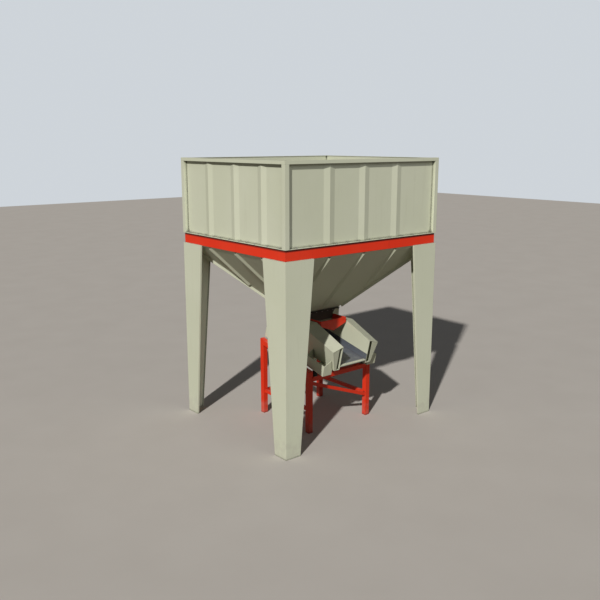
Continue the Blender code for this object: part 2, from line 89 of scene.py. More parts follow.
# Floor
# A wide level studio floor in pale grey, with a faint grain. What it throws back up at the bunker
# is kept low, so that the underside of the hopper stays in deep shade.
FLOOR_REACH = 60.0
floor_mesh = bpy.data.meshes.new("floor")
corners = FLOOR_REACH * np.array([(-1, -1, 0), (1, -1, 0), (1, 1, 0), (-1, 1, 0)], float)
floor_mesh.from_pydata(corners.tolist(), [], [(0, 1, 2, 3)])
floor = bpy.data.objects.new("floor", floor_mesh)
bpy.context.collection.objects.link(floor)
floor_paint = bpy.data.materials.new("floor")
floor_paint.use_nodes = True
floor_paint.node_tree.nodes.remove(floor_paint.node_tree.nodes["Principled BSDF"])
floor_shader = floor_paint.node_tree.nodes.new("ShaderNodeBsdfDiffuse")
floor_grain = floor_paint.node_tree.nodes.new("ShaderNodeTexNoise")
floor_grain.inputs["Scale"].default_value = 0.8
floor_grain.inputs["Detail"].default_value = 6.0
floor_place = floor_paint.node_tree.nodes.new("ShaderNodeTexCoord")
floor_tone = floor_paint.node_tree.nodes.new("ShaderNodeMix")
floor_tone.data_type = "RGBA"
floor_tone.inputs["A"].default_value = (0.60, 0.56, 0.525, 1.0)
floor_tone.inputs["B"].default_value = (0.66, 0.62, 0.585, 1.0)
floor_links = floor_paint.node_tree.links
floor_links.new(floor_place.outputs["Object"], floor_grain.inputs["Vector"])
floor_links.new(floor_grain.outputs["Fac"], floor_tone.inputs["Factor"])
floor_lit = floor_paint.node_tree.nodes.new("ShaderNodeMix")
floor_lit.data_type = "RGBA"
floor_lit.inputs["A"].default_value = (0.30, 0.275, 0.235, 1.0)
floor_seen = floor_paint.node_tree.nodes.new("ShaderNodeLightPath")
floor_links.new(floor_seen.outputs["Is Camera Ray"], floor_lit.inputs["Factor"])
floor_links.new(floor_tone.outputs["Result"], floor_lit.inputs["B"])
floor_links.new(floor_lit.outputs["Result"], floor_shader.inputs["Color"])
floor_links.new(floor_shader.outputs[0], floor_paint.node_tree.nodes["Material Output"].inputs["Surface"])
floor_mesh.materials.append(floor_paint)


# Bin
# Four folded steel panels with pressed stiffeners between square corner posts, under an angle rim.
# All of it is sprayed in one coat of satin cream paint that has faded and streaked a little.
def start_group(name, inputs, outputs):
    """New shader node group with named float or colour sockets; returns its tree and its two end nodes."""
    group = bpy.data.node_groups.new(name, "ShaderNodeTree")
    for label, kind, value in inputs:
        socket = group.interface.new_socket(label, in_out="INPUT", socket_type=kind)
        socket.default_value = value
    for label, kind in outputs:
        group.interface.new_socket(label, in_out="OUTPUT", socket_type=kind)
    return group, group.nodes.new("NodeGroupInput"), group.nodes.new("NodeGroupOutput")


def add_math(tree, operation, first, second=None, third=None):
    """Math node; each operand is a number or an output socket. Returns its output socket."""
    node = tree.nodes.new("ShaderNodeMath")
    node.operation = operation
    for slot_index, operand in enumerate((first, second, third)):
        if operand is None:
            continue
        if isinstance(operand, (int, float)):
            node.inputs[slot_index].default_value = operand
        else:
            tree.links.new(operand, node.inputs[slot_index])
    return node.outputs[0]


def add_ramp(tree, value, low, high):
    """Smooth step of an output socket, from 0 at low to 1 at high."""
    node = tree.nodes.new("ShaderNodeMapRange")
    node.interpolation_type = "SMOOTHSTEP"
    node.inputs["From Min"].default_value = low
    node.inputs["From Max"].default_value = high
    tree.links.new(value, node.inputs["Value"])
    return node.outputs["Result"]


def add_noise(tree, scale, detail, stretch=(1.0, 1.0, 1.0)):
    """Noise on object coordinates in metres, each axis multiplied by its stretch."""
    place = tree.nodes.new("ShaderNodeTexCoord")
    mapping = tree.nodes.new("ShaderNodeMapping")
    mapping.inputs["Scale"].default_value = stretch
    noise = tree.nodes.new("ShaderNodeTexNoise")
    noise.inputs["Scale"].default_value = scale
    noise.inputs["Detail"].default_value = detail
    tree.links.new(place.outputs["Object"], mapping.inputs["Vector"])
    tree.links.new(mapping.outputs["Vector"], noise.inputs["Vector"])
    return noise.outputs["Fac"]


def add_mix(tree, factor, first, second):
    """Colour mix; factor is a socket, each colour a tuple or a socket. Returns the colour socket."""
    node = tree.nodes.new("ShaderNodeMix")
    node.data_type = "RGBA"
    tree.links.new(factor, node.inputs["Factor"])
    for label, colour in (("A", first), ("B", second)):
        if isinstance(colour, tuple):
            node.inputs[label].default_value = (*colour, 1.0)
        else:
            tree.links.new(colour, node.inputs[label])
    return node.outputs["Result"]


# Weather on paint: fading in broad patches and thin runs that water leaves down a face
weather, weather_in, weather_out = start_group(
    "paint_weather",
    (
        ("Paint", "NodeSocketColor", (0.6, 0.6, 0.5, 1.0)),
        ("Faded", "NodeSocketColor", (0.7, 0.7, 0.6, 1.0)),
        ("Stain", "NodeSocketColor", (0.3, 0.27, 0.2, 1.0)),
        ("Fading", "NodeSocketFloat", 0.4),
        ("Streaks", "NodeSocketFloat", 0.2),
    ),
    (("Colour", "NodeSocketColor"), ("Gloss Loss", "NodeSocketFloat")),
)
patches = add_ramp(weather, add_noise(weather, 0.9, 5.0), 0.35, 0.70)
speckle = add_ramp(weather, add_noise(weather, 38.0, 3.0), 0.45, 0.75)
fading = add_math(weather, "MULTIPLY", patches, weather_in.outputs["Fading"])
fading = add_math(weather, "MULTIPLY_ADD", speckle, 0.05, fading)
runs = add_ramp(weather, add_noise(weather, 5.5, 4.0, (3.0, 3.0, 0.16)), 0.52, 0.80)
broken = add_ramp(weather, add_noise(weather, 1.4, 3.0), 0.40, 0.62)
streaks = add_math(weather, "MULTIPLY", add_math(weather, "MULTIPLY", runs, broken), weather_in.outputs["Streaks"])
tone = add_mix(weather, fading, weather_in.outputs["Paint"], weather_in.outputs["Faded"])
tone = add_mix(weather, streaks, tone, weather_in.outputs["Stain"])
weather.links.new(tone, weather_out.inputs["Colour"])
weather.links.new(add_math(weather, "ADD", fading, streaks), weather_out.inputs["Gloss Loss"])

# Edge wear and painted highlight: how sharply the surface turns within a few millimetres, broken up by fine noise.
# The lighter edge colour stands partly for worn paint and partly for light catching the edge.
wear, wear_in, wear_out = start_group(
    "edge_wear_and_highlight",
    (("Amount", "NodeSocketFloat", 0.5),),
    (("Mask", "NodeSocketFloat"), ("Soft Normal", "NodeSocketVector")),
)
rounding = wear.nodes.new("ShaderNodeBevel")
rounding.samples = 4
rounding.inputs["Radius"].default_value = 0.006
facing = wear.nodes.new("ShaderNodeNewGeometry")
turn = wear.nodes.new("ShaderNodeVectorMath")
turn.operation = "DOT_PRODUCT"
wear.links.new(rounding.outputs[0], turn.inputs[0])
wear.links.new(facing.outputs["Normal"], turn.inputs[1])
bent = add_ramp(wear, add_math(wear, "SUBTRACT", 1.0, turn.outputs["Value"]), 0.01, 0.12)
chipped = add_ramp(wear, add_noise(wear, 26.0, 6.0), 0.42, 0.66)
edge_wear_highlight_mask = add_math(wear, "MULTIPLY", add_math(wear, "MULTIPLY", bent, chipped), wear_in.outputs["Amount"])
wear.links.new(edge_wear_highlight_mask, wear_out.inputs["Mask"])
wear.links.new(rounding.outputs[0], wear_out.inputs["Soft Normal"])

# Dust: it lies on faces that look up and creeps up from the ground
dust, dust_in, dust_out = start_group(
    "settled_dust",
    (("On Top", "NodeSocketFloat", 0.5), ("From Ground", "NodeSocketFloat", 0.3)),
    (("Mask", "NodeSocketFloat"),),
)
look = dust.nodes.new("ShaderNodeNewGeometry")
look_parts = dust.nodes.new("ShaderNodeSeparateXYZ")
dust.links.new(look.outputs["Normal"], look_parts.inputs[0])
height = dust.nodes.new("ShaderNodeTexCoord")
height_parts = dust.nodes.new("ShaderNodeSeparateXYZ")
dust.links.new(height.outputs["Object"], height_parts.inputs[0])
clouds = add_ramp(dust, add_noise(dust, 7.0, 8.0), 0.30, 0.72)
upward = add_ramp(dust, look_parts.outputs["Z"], 0.35, 0.95)
lying = add_math(dust, "MULTIPLY", add_math(dust, "MULTIPLY", upward, clouds), dust_in.outputs["On Top"])
creep = add_math(dust, "MULTIPLY_ADD", clouds, 0.45, add_math(dust, "MULTIPLY", height_parts.outputs["Z"], -1.0))
creep = add_math(dust, "MULTIPLY", add_ramp(dust, creep, -0.25, 0.30), dust_in.outputs["From Ground"])
dust.links.new(add_math(dust, "MAXIMUM", lying, creep), dust_out.inputs["Mask"])

# Skin of sprayed paint: fine orange peel over the slow waves of a welded plate
skin, skin_in, skin_out = start_group(
    "paint_skin",
    (("Peel", "NodeSocketFloat", 1.0), ("Waves", "NodeSocketFloat", 1.0)),
    (("Height", "NodeSocketFloat"),),
)
peel = add_math(skin, "MULTIPLY", add_noise(skin, 210.0, 2.0), add_math(skin, "MULTIPLY", skin_in.outputs["Peel"], 0.0004))
waves = add_math(skin, "MULTIPLY", add_noise(skin, 1.7, 1.0), add_math(skin, "MULTIPLY", skin_in.outputs["Waves"], 0.012))
skin.links.new(add_math(skin, "ADD", peel, waves), skin_out.inputs["Height"])


# Crevice mask from ambient occlusion. In the painted parts it is painted shade: a dark line where plates meet, under
# overhangs and in the roots of folds. In the plated parts it places rust in their hollows.
crevice, crevice_in, crevice_out = start_group(
    "crevice_shade_and_rust",
    (("Amount", "NodeSocketFloat", 0.8),),
    (("Mask", "NodeSocketFloat"),),
)
openness = crevice.nodes.new("ShaderNodeAmbientOcclusion")
openness.samples = 8
openness.inputs["Distance"].default_value = 0.09
closed_in = add_ramp(crevice, add_math(crevice, "SUBTRACT", 1.0, openness.outputs["AO"]), 0.22, 0.55)
uneven = add_math(crevice, "MULTIPLY_ADD", add_noise(crevice, 12.0, 4.0), 0.6, 0.6)
crevice_shade_and_rust_mask = add_math(crevice, "MULTIPLY", add_math(crevice, "MULTIPLY", closed_in, uneven), crevice_in.outputs["Amount"])
crevice.links.new(add_math(crevice, "MINIMUM", crevice_shade_and_rust_mask, 1.0), crevice_out.inputs["Mask"])


def place_group(tree, group, **values):
    """Group node in a material; keyword values are its inputs, with _ for a space in a name."""
    node = tree.nodes.new("ShaderNodeGroup")
    node.node_tree = group
    for label, value in values.items():
        socket = node.inputs[label.replace("_", " ")]
        socket.default_value = (*value, 1.0) if isinstance(value, tuple) else value
    return node


def painted_steel(name, paint, faded, stain, edge_tone, powder, crevice_shade, amounts, roughness):
    """Sprayed steel: weathered colour, edges lightened for wear and as a painted highlight, dust, painted shade in
    crevices, orange peel and rounded edges.

    amounts holds fading, streaks, edge wear and highlight, dust on top, dust from the ground, crevice shade and plate
    waves.
    """
    material = bpy.data.materials.new(name)
    material.use_nodes = True
    tree = material.node_tree
    shader = tree.nodes["Principled BSDF"]
    fade, streak, edge, top, ground, crevice_shading, wave = amounts
    look_of_paint = place_group(
        tree, weather, Paint=paint, Faded=faded, Stain=stain, Fading=fade, Streaks=streak
    )
    edges = place_group(tree, wear, Amount=edge)
    dusting = place_group(tree, dust, On_Top=top, From_Ground=ground)
    crevices = place_group(tree, crevice, Amount=crevice_shading)
    surface = place_group(tree, skin, Peel=1.0, Waves=wave)
    # Edges lighter: partly paint worn thin, partly a painted highlight where light catches them.
    colour = add_mix(tree, edges.outputs["Mask"], look_of_paint.outputs["Colour"], edge_tone)
    colour = add_mix(tree, dusting.outputs["Mask"], colour, powder)
    # Painted shade: recesses, plate joints and the faces under overhangs are darkened towards the dark crevice
    # colour.
    colour = add_mix(tree, crevices.outputs["Mask"], colour, crevice_shade)
    tree.links.new(colour, shader.inputs["Base Color"])
    rough = add_math(tree, "MULTIPLY_ADD", look_of_paint.outputs["Gloss Loss"], 0.25, roughness)
    rough = add_math(tree, "MULTIPLY_ADD", dusting.outputs["Mask"], 0.4, rough)
    tree.links.new(add_math(tree, "MINIMUM", rough, 0.95), shader.inputs["Roughness"])
    bump = tree.nodes.new("ShaderNodeBump")
    bump.inputs["Distance"].default_value = 1.0
    tree.links.new(surface.outputs["Height"], bump.inputs["Height"])
    tree.links.new(edges.outputs["Soft Normal"], bump.inputs["Normal"])
    tree.links.new(bump.outputs[0], shader.inputs["Normal"])
    return material


def dress(material, *names):
    """Give CAD nodes one material."""
    for name in names:
        slots = nodes[name].data.materials
        slots.clear()
        slots.append(material)


CREAM = (0.655, 0.675, 0.525)
CREAM_FADED = (0.690, 0.705, 0.570)
CREAM_STAIN = (0.500, 0.500, 0.380)
# Lighter cream for edges: worn paint and a painted highlight.
CREAM_WORN_HIGHLIGHT = (0.780, 0.790, 0.690)
# Dark tone used as painted shade in crevices and under overhangs.
CREAM_SHADE = (0.075, 0.078, 0.045)
POWDER = (0.47, 0.44, 0.38)
SIDES = ("front", "right", "back", "left")
CORNERS = ("front_left", "front_right", "back_right", "back_left")
bin_cream = painted_steel(
    "bin_cream", CREAM, CREAM_FADED, CREAM_STAIN, CREAM_WORN_HIGHLIGHT, POWDER, CREAM_SHADE,
    (0.45, 0.22, 0.45, 0.45, 0.0, 0.85, 0.35), 0.48,
)
dress(bin_cream, *[f"{side}_wall" for side in SIDES], *[f"{side}_rim" for side in SIDES])
dress(bin_cream, *[f"corner_post_{corner}" for corner in CORNERS])

# Rim welds
# The rim angles meet in mitres over the corner posts; each mitre is closed with one short bead.
RIM_TOP = 5.730
RIM_WIDTH = 0.100
HALF_WIDTH = 2.10
HALF_DEPTH = 1.80
MITRES = np.array([(-1, -1), (1, -1), (1, 1), (-1, 1)], float)


def make_piece(name, rings, material, smooth):
    """Mesh of closed tubes: rings is a list of arrays (tube, ring, point, xyz), capped at both ends.

    Point j of ring i joins point j + 1 and the same two points of ring i + 1.
    """
    points = []
    quads = []
    caps = []
    first = 0
    for block in rings:
        tubes, levels, around = block.shape[:3]
        index = first + np.arange(tubes * levels * around).reshape(tubes, levels, around)
        following = np.roll(index, -1, axis=2)
        quads.append(
            np.stack((index[:, :-1], following[:, :-1], following[:, 1:], index[:, 1:]), axis=-1).reshape(-1, 4)
        )
        caps += index[:, 0, ::-1].tolist() + index[:, -1].tolist()
        points.append(block.reshape(-1, 3))
        first += block[..., 0].size
    mesh = bpy.data.meshes.new(name)
    mesh.from_pydata(np.concatenate(points).tolist(), [], np.concatenate(quads).tolist() + caps)
    shell = bmesh.new()
    shell.from_mesh(mesh)
    bmesh.ops.recalc_face_normals(shell, faces=shell.faces)
    shell.to_mesh(mesh)
    shell.free()
    mesh.polygons.foreach_set("use_smooth", np.full(len(mesh.polygons), smooth))
    mesh.materials.append(material)
    piece = bpy.data.objects.new(name, mesh)
    bpy.context.collection.objects.link(piece)
    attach(piece, "root")
    return piece


def weld_bead(start, end, radius):
    """Rippled bead between two points: a tube whose radius swells once in each ripple.

    radius times (0.92 + 0.14 sin(along / ripple)), drawn in to nothing over the first and last ripple.
    """
    start = np.asarray(start, float)
    run = np.asarray(end, float) - start
    length = np.linalg.norm(run)
    ripple = radius * 2.6
    along = np.linspace(0.0, length, max(int(length / ripple * 3), 4))
    swell = 0.92 + 0.14 * np.sin(2 * np.pi * along / ripple) + 0.05 * np.sin(along * 23.0)
    ends = np.clip(np.minimum(along, length - along) / ripple + 0.25, 0.0, 1.0)
    direction = run / length
    side = np.cross(direction, (0.31, 0.52, 0.79))
    side /= np.linalg.norm(side)
    up = np.cross(direction, side)
    turn = np.linspace(0.0, 2 * np.pi, 7)[:-1]
    circle = np.cos(turn)[:, None] * side + np.sin(turn)[:, None] * up
    middle = start + along[:, None] * direction
    return (middle[:, None, :] + (radius * swell * ends)[:, None, None] * circle)[None]


mitre_beads = []
for sign_x, sign_y in MITRES:
    outer = np.array((sign_x * (HALF_WIDTH - 0.004), sign_y * (HALF_DEPTH - 0.004), RIM_TOP))
    inner = np.array((sign_x * (HALF_WIDTH - RIM_WIDTH), sign_y * (HALF_DEPTH - RIM_WIDTH), RIM_TOP))
    mitre_beads.append(weld_bead(outer, inner, 0.005))
    mitre_beads.append(weld_bead(outer - (0, 0, 0.002), outer - (0, 0, 0.063), 0.005))
make_piece("rim_mitre_welds", mitre_beads, bin_cream, True)

# Wall bolts
# Zinc-plated hexagon bolts with washers hold the foot flange of each wall down on the ring beam.
def plated_steel(name, metal, dulled, rust, amounts, roughness):
    """Bare or plated steel: cloudy metal with fine scratches, rust in the crevices and dust on top."""
    material = bpy.data.materials.new(name)
    material.use_nodes = True
    tree = material.node_tree
    shader = tree.nodes["Principled BSDF"]
    cloud, rusting, top, metallic = amounts
    look_of_metal = place_group(
        tree, weather, Paint=metal, Faded=dulled, Stain=rust, Fading=cloud, Streaks=rusting
    )
    crevices = place_group(tree, crevice, Amount=rusting)
    dusting = place_group(tree, dust, On_Top=top, From_Ground=0.0)
    surface = place_group(tree, skin, Peel=0.5, Waves=0.2)
    colour = add_mix(tree, crevices.outputs["Mask"], look_of_metal.outputs["Colour"], rust)
    colour = add_mix(tree, dusting.outputs["Mask"], colour, POWDER)
    tree.links.new(colour, shader.inputs["Base Color"])
    cover = add_math(tree, "MAXIMUM", crevices.outputs["Mask"], dusting.outputs["Mask"])
    tree.links.new(
        add_math(tree, "MULTIPLY", add_math(tree, "SUBTRACT", 1.0, cover), metallic), shader.inputs["Metallic"]
    )
    scratches = add_ramp(tree, add_noise(tree, 60.0, 2.0, (1.0, 0.06, 1.0)), 0.42, 0.62)
    rough = add_math(tree, "MULTIPLY_ADD", scratches, 0.18, roughness)
    rough = add_math(tree, "MULTIPLY_ADD", cover, 0.35, rough)
    tree.links.new(add_math(tree, "MINIMUM", rough, 0.95), shader.inputs["Roughness"])
    bump = tree.nodes.new("ShaderNodeBump")
    bump.inputs["Distance"].default_value = 1.0
    tree.links.new(surface.outputs["Height"], bump.inputs["Height"])
    tree.links.new(bump.outputs[0], shader.inputs["Normal"])
    return material


def hex_bolts(places, axis, across):
    """Washer and hexagon head on an axis: six corners and six flats, closed by a chamfered top.

    The hexagon's radius is its half width over the cosine of the angle from the nearest flat.
    """
    axis = np.asarray(axis, float) / np.linalg.norm(axis)
    side = np.cross(axis, (0.21, 0.93, 0.31))
    side /= np.linalg.norm(side)
    up = np.cross(axis, side)
    turn = np.linspace(0.0, 2 * np.pi, 13)[:-1]
    half = across / 2
    corner = half / np.cos((turn + np.pi / 6) % (np.pi / 3) - np.pi / 6)
    washer = np.full(12, across * 0.62)
    crown = np.full(12, half * 0.92)
    sizes = np.stack((washer, washer, corner, corner, crown))
    heights = across * np.array((-0.05, 0.12, 0.12, 0.68, 0.76))
    circle = np.cos(turn)[:, None] * side + np.sin(turn)[:, None] * up
    shape = sizes[:, :, None] * circle + heights[:, None, None] * axis
    return np.asarray(places, float)[:, None, None, :] + shape


zinc = plated_steel("zinc", (0.40, 0.41, 0.42), (0.30, 0.31, 0.32), (0.16, 0.08, 0.04), (0.7, 0.35, 0.4, 0.85), 0.38)
FOOT_FLANGE_TOP = 4.1283
FLANGE_BOLT_INSET = 0.036
FLANGE_BOLT_ACROSS = 0.024
front_run = np.array((-1.80, -1.45, -1.10, -0.80, -0.50, -0.20, 0.11, 0.40, 0.70, 1.05, 1.40, 1.80))
side_run = np.array((-1.58, -1.25, -0.98, -0.64, -0.38, -0.08, 0.28, 0.54, 0.80, 1.20, 1.58))
level = np.full_like(front_run, FOOT_FLANGE_TOP)
flange_bolts = []
for sign in (-1, 1):
    across_y = np.full_like(front_run, sign * (HALF_DEPTH - FLANGE_BOLT_INSET))
    flange_bolts.append(np.stack((-sign * front_run, across_y, level), axis=1))
    across_x = np.full_like(side_run, sign * (HALF_WIDTH - FLANGE_BOLT_INSET))
    flange_bolts.append(np.stack((across_x, sign * side_run, level[: side_run.size]), axis=1))
make_piece(
    "wall_bolts", [hex_bolts(np.concatenate(flange_bolts), (0, 0, 1), FLANGE_BOLT_ACROSS)],
    zinc, False,
)

# Ring beam
# Rolled channel, mitred and welded at the corners, in signal red under the edge of the bin.
# A band at the top of its web is darkened: a painted shadow of the foot flange that overhangs it.
RED = (0.87, 0.036, 0.008)
RED_FADED = (0.88, 0.058, 0.018)
RED_STAIN = (0.42, 0.022, 0.010)
# Lighter red for edges: worn paint and a painted highlight.
RED_WORN_HIGHLIGHT = (0.88, 0.22, 0.10)
# Dark red tone used as painted shade in crevices and under overhangs, and for the painted shadow on the ring's web.
RED_SHADE = (0.075, 0.010, 0.006)
ring_red = painted_steel(
    "ring_red", RED, RED_FADED, RED_STAIN, RED_WORN_HIGHLIGHT, POWDER, RED_SHADE,
    (0.45, 0.30, 0.35, 0.35, 0.0, 0.9, 0.15), 0.42,
)
ring_tree = ring_red.node_tree
ring_shader = ring_tree.nodes["Principled BSDF"]
ring_place = ring_tree.nodes.new("ShaderNodeTexCoord")
ring_height = ring_tree.nodes.new("ShaderNodeSeparateXYZ")
ring_tree.links.new(ring_place.outputs["Object"], ring_height.inputs[0])
RING_FACE = 0.030
RING_BOTTOM = 3.900
RING_TOP = 4.120
FLANGE_SHADOW_LOW = 4.058
FLANGE_SHADOW_HIGH = 4.092
# Painted shadow: the web is darkened from this band up to the ring's top, under the overhanging foot flange.
flange_shadow_band = add_ramp(ring_tree, ring_height.outputs["Z"], FLANGE_SHADOW_LOW, FLANGE_SHADOW_HIGH)
flange_shadow_band = add_math(ring_tree, "MULTIPLY", flange_shadow_band, 0.80)
unshaded_red = ring_shader.inputs["Base Color"].links[0].from_socket
ring_tree.links.new(add_mix(ring_tree, flange_shadow_band, unshaded_red, RED_SHADE), ring_shader.inputs["Base Color"])
dress(ring_red, *[f"{side}_ring_beam" for side in SIDES])
corner_beads = []
for sign_x, sign_y in MITRES:
    low = np.array((sign_x * (HALF_WIDTH - RING_FACE), sign_y * (HALF_DEPTH - RING_FACE), RING_BOTTOM))
    corner_beads.append(weld_bead(low, low + (0, 0, RING_TOP - RING_BOTTOM), 0.005))
make_piece("ring_corner_welds", corner_beads, ring_red, True)

# Legs
# Folded plate angles, wide under the ring and narrow at the ground, in the same cream coat.
# A bead along the top joins each of them to the underside of the ring beam.
leg_cream = painted_steel(
    "leg_cream", CREAM, CREAM_FADED, CREAM_STAIN, CREAM_WORN_HIGHLIGHT, POWDER, CREAM_SHADE,
    (0.40, 0.20, 0.45, 0.4, 0.30, 0.7, 0.30), 0.50,
)
dress(leg_cream, *[f"leg_{corner}" for corner in CORNERS])
LEG_TOP_WIDTH = 0.700
leg_beads = []
for sign_x, sign_y in MITRES:
    at = np.array((sign_x * (HALF_WIDTH - RING_FACE + 0.003), sign_y * (HALF_DEPTH - RING_FACE + 0.003), RING_BOTTOM))
    leg_beads.append(weld_bead(at, (sign_x * (HALF_WIDTH - LEG_TOP_WIDTH), at[1], at[2]), 0.006))
    leg_beads.append(weld_bead(at, (at[0], sign_y * (HALF_DEPTH - LEG_TOP_WIDTH), at[2]), 0.006))
make_piece("leg_top_welds", leg_beads, leg_cream, True)

# Hopper
# Four sloping plates with angles laid on them, flanged along the hips. Outside they are painted;
# inside the sliding material has scoured the paint down to dull steel.
HOPPER_TOP_X = 2.055
HOPPER_TOP_Y = 1.755
MOUTH_X = 0.455
MOUTH_Y = 0.420
MOUTH_Z = 2.450
SCOURED = (0.30, 0.29, 0.27)
SCOURED_DARK = (0.19, 0.175, 0.155)
hopper_cream = painted_steel(
    "hopper_cream", CREAM, CREAM_FADED, CREAM_STAIN, CREAM_WORN_HIGHLIGHT, POWDER, CREAM_SHADE,
    (0.40, 0.15, 0.45, 0.0, 0.0, 0.6, 0.30), 0.52,
)
hopper_tree = hopper_cream.node_tree
hopper_shader = hopper_tree.nodes["Principled BSDF"]
hopper_facing = hopper_tree.nodes.new("ShaderNodeNewGeometry")
hopper_parts = hopper_tree.nodes.new("ShaderNodeSeparateXYZ")
hopper_tree.links.new(hopper_facing.outputs["True Normal"], hopper_parts.inputs[0])
inside = add_ramp(hopper_tree, hopper_parts.outputs["Z"], 0.45, 0.62)
hopper_place = hopper_tree.nodes.new("ShaderNodeTexCoord")
hopper_height = hopper_tree.nodes.new("ShaderNodeSeparateXYZ")
hopper_tree.links.new(hopper_place.outputs["Object"], hopper_height.inputs[0])
WORN_LEVEL = 3.55
KEPT_LEVEL = 4.05
marks = add_noise(hopper_tree, 1.6, 7.0)
depth_in = add_math(hopper_tree, "MULTIPLY_ADD", marks, -0.9, hopper_height.outputs["Z"])
depth_in = add_math(hopper_tree, "ADD", depth_in, 0.45)
worn_through = add_ramp(hopper_tree, add_math(hopper_tree, "SUBTRACT", WORN_LEVEL + KEPT_LEVEL, depth_in), WORN_LEVEL, KEPT_LEVEL)
worn_through = add_math(hopper_tree, "MULTIPLY", worn_through, inside)
cloudy = add_ramp(hopper_tree, add_noise(hopper_tree, 3.0, 4.0), 0.30, 0.75)
scour = add_mix(hopper_tree, cloudy, SCOURED_DARK, SCOURED)
painted_side = hopper_shader.inputs["Base Color"].links[0].from_socket
hopper_tree.links.new(add_mix(hopper_tree, worn_through, painted_side, scour), hopper_shader.inputs["Base Color"])
hopper_tree.links.new(add_math(hopper_tree, "MULTIPLY", worn_through, 0.55), hopper_shader.inputs["Metallic"])
dress(hopper_cream, *[f"{side}_hopper_plate" for side in SIDES])
hopper_beads = []
for sign_x, sign_y in MITRES:
    top = np.array((sign_x * HOPPER_TOP_X, sign_y * HOPPER_TOP_Y, RING_BOTTOM - 0.004))
    mouth = np.array((sign_x * MOUTH_X, sign_y * MOUTH_Y, MOUTH_Z))
    hopper_beads.append(weld_bead(top, mouth, 0.006))
    hopper_beads.append(weld_bead(top, (-top[0], top[1], top[2]) if sign_x == sign_y else (top[0], -top[1], top[2]), 0.006))
make_piece("hopper_welds", hopper_beads, hopper_cream, True)

# Outlet flange and neck
# Unpainted steel plate, dark with mill scale and old oil. Nuts under the flange clamp the neck to it.
MILL_SCALE = (0.060, 0.048, 0.036)
MILL_SCALE_FADED = (0.10, 0.078, 0.055)
outlet_steel = painted_steel(
    "outlet_steel", MILL_SCALE, MILL_SCALE_FADED, (0.10, 0.045, 0.02), (0.22, 0.20, 0.18), POWDER,
    (0.02, 0.016, 0.012), (0.6, 0.35, 0.5, 0.5, 0.0, 0.7, 0.2), 0.60,
)
dress(outlet_steel, "outlet_flange", "outlet_neck")
FLANGE_UNDERSIDE = 2.438
NUT_LINE_X = 0.478
NUT_LINE_Y = 0.443
nut_x = np.linspace(-NUT_LINE_X, NUT_LINE_X, 7)
nut_y = np.linspace(-NUT_LINE_Y, NUT_LINE_Y, 6)[1:-1]
nut_places = [(x, sign * NUT_LINE_Y, FLANGE_UNDERSIDE) for x in nut_x for sign in (-1, 1)]
nut_places += [(sign * NUT_LINE_X, y, FLANGE_UNDERSIDE) for y in nut_y for sign in (-1, 1)]
make_piece("outlet_nuts", [hex_bolts(nut_places, (0, 0, -1), 0.024)], zinc, False)

# Skirt box
# Red box of thin plate around the neck, standing in the pan to hold the material in.
# Its corners are welded up from the sloping lower edge to the top.
skirt_red = painted_steel(
    "skirt_red", RED, RED_FADED, RED_STAIN, RED_WORN_HIGHLIGHT, POWDER, RED_SHADE,
    (0.5, 0.25, 0.5, 0.3, 0.0, 0.8, 0.2), 0.45,
)
dress(skirt_red, "skirt_box")
SKIRT_X = 0.360
SKIRT_FRONT = -0.820
SKIRT_BACK = 0.430
skirt_beads = [
    weld_bead((sign * SKIRT_X, y, 2.205), (sign * SKIRT_X, y, 2.318), 0.004)
    for sign in (-1, 1) for y in (SKIRT_FRONT, SKIRT_BACK)
]
make_piece("skirt_corner_welds", skirt_beads, skirt_red, True)

# Feeder pan
# Folded cream plate on two cross tubes; the hollow sides lean in at the foot and are open in front.
pan_cream = painted_steel(
    "pan_cream", CREAM, CREAM_FADED, CREAM_STAIN, CREAM_WORN_HIGHLIGHT, POWDER, CREAM_SHADE,
    (0.45, 0.20, 0.65, 0.25, 0.0, 0.75, 0.25), 0.46,
)
dress(pan_cream, "pan_left_side", "pan_right_side", "pan_back_plate")
dress(pan_cream, "pan_front_cross_tube", "pan_back_cross_tube")
PAN_SLOPE = math.radians(13.0)
PAN_LIP_Y = -1.443
PAN_LIP_Z = 1.460
PAN_HALF = 0.380
PAN_RUN = 2.10


def on_pan(points):
    """Pan coordinates to the bunker's: turned by the pan's slope about its lip, then moved to the lip."""
    x, y, z = np.moveaxis(np.asarray(points, float), -1, 0)
    c, s = math.cos(PAN_SLOPE), math.sin(PAN_SLOPE)
    return np.stack((x, PAN_LIP_Y + y * c - z * s, PAN_LIP_Z + y * s + z * c), axis=-1)


# Pan liners
# Bare wear plates on the floor and along the lower part of both sides, each held by a row of
# countersunk screws, with a thicker bar where the material drops off the lip.
liner_steel = plated_steel(
    "liner_steel", (0.150, 0.170, 0.210), (0.21, 0.225, 0.255), (0.07, 0.045, 0.03), (0.7, 0.35, 0.2, 0.35), 0.40
)
dress(liner_steel, "pan_floor")
LINER_TOP = 0.012
LINER_HEIGHT = 0.160
LINER_THICKNESS = 0.006


def flat_bar(outline, across, chamfer):
    """Plate carried along a straight vector: its outline, drawn in towards the middle at both faces."""
    outline = np.asarray(outline, float)
    across = np.asarray(across, float)
    middle = outline.mean(axis=0)
    reach = np.linalg.norm(outline - middle, axis=1).max()
    drawn_in = 1 - chamfer / reach
    depth = np.array((0.0, chamfer, 1 - chamfer, 1.0))
    depth[1:3] = chamfer / np.linalg.norm(across), 1 - chamfer / np.linalg.norm(across)
    scale = np.array((drawn_in, 1.0, 1.0, drawn_in))
    loops = middle + (outline - middle) * scale[:, None, None] + across * depth[:, None, None]
    return loops[None]


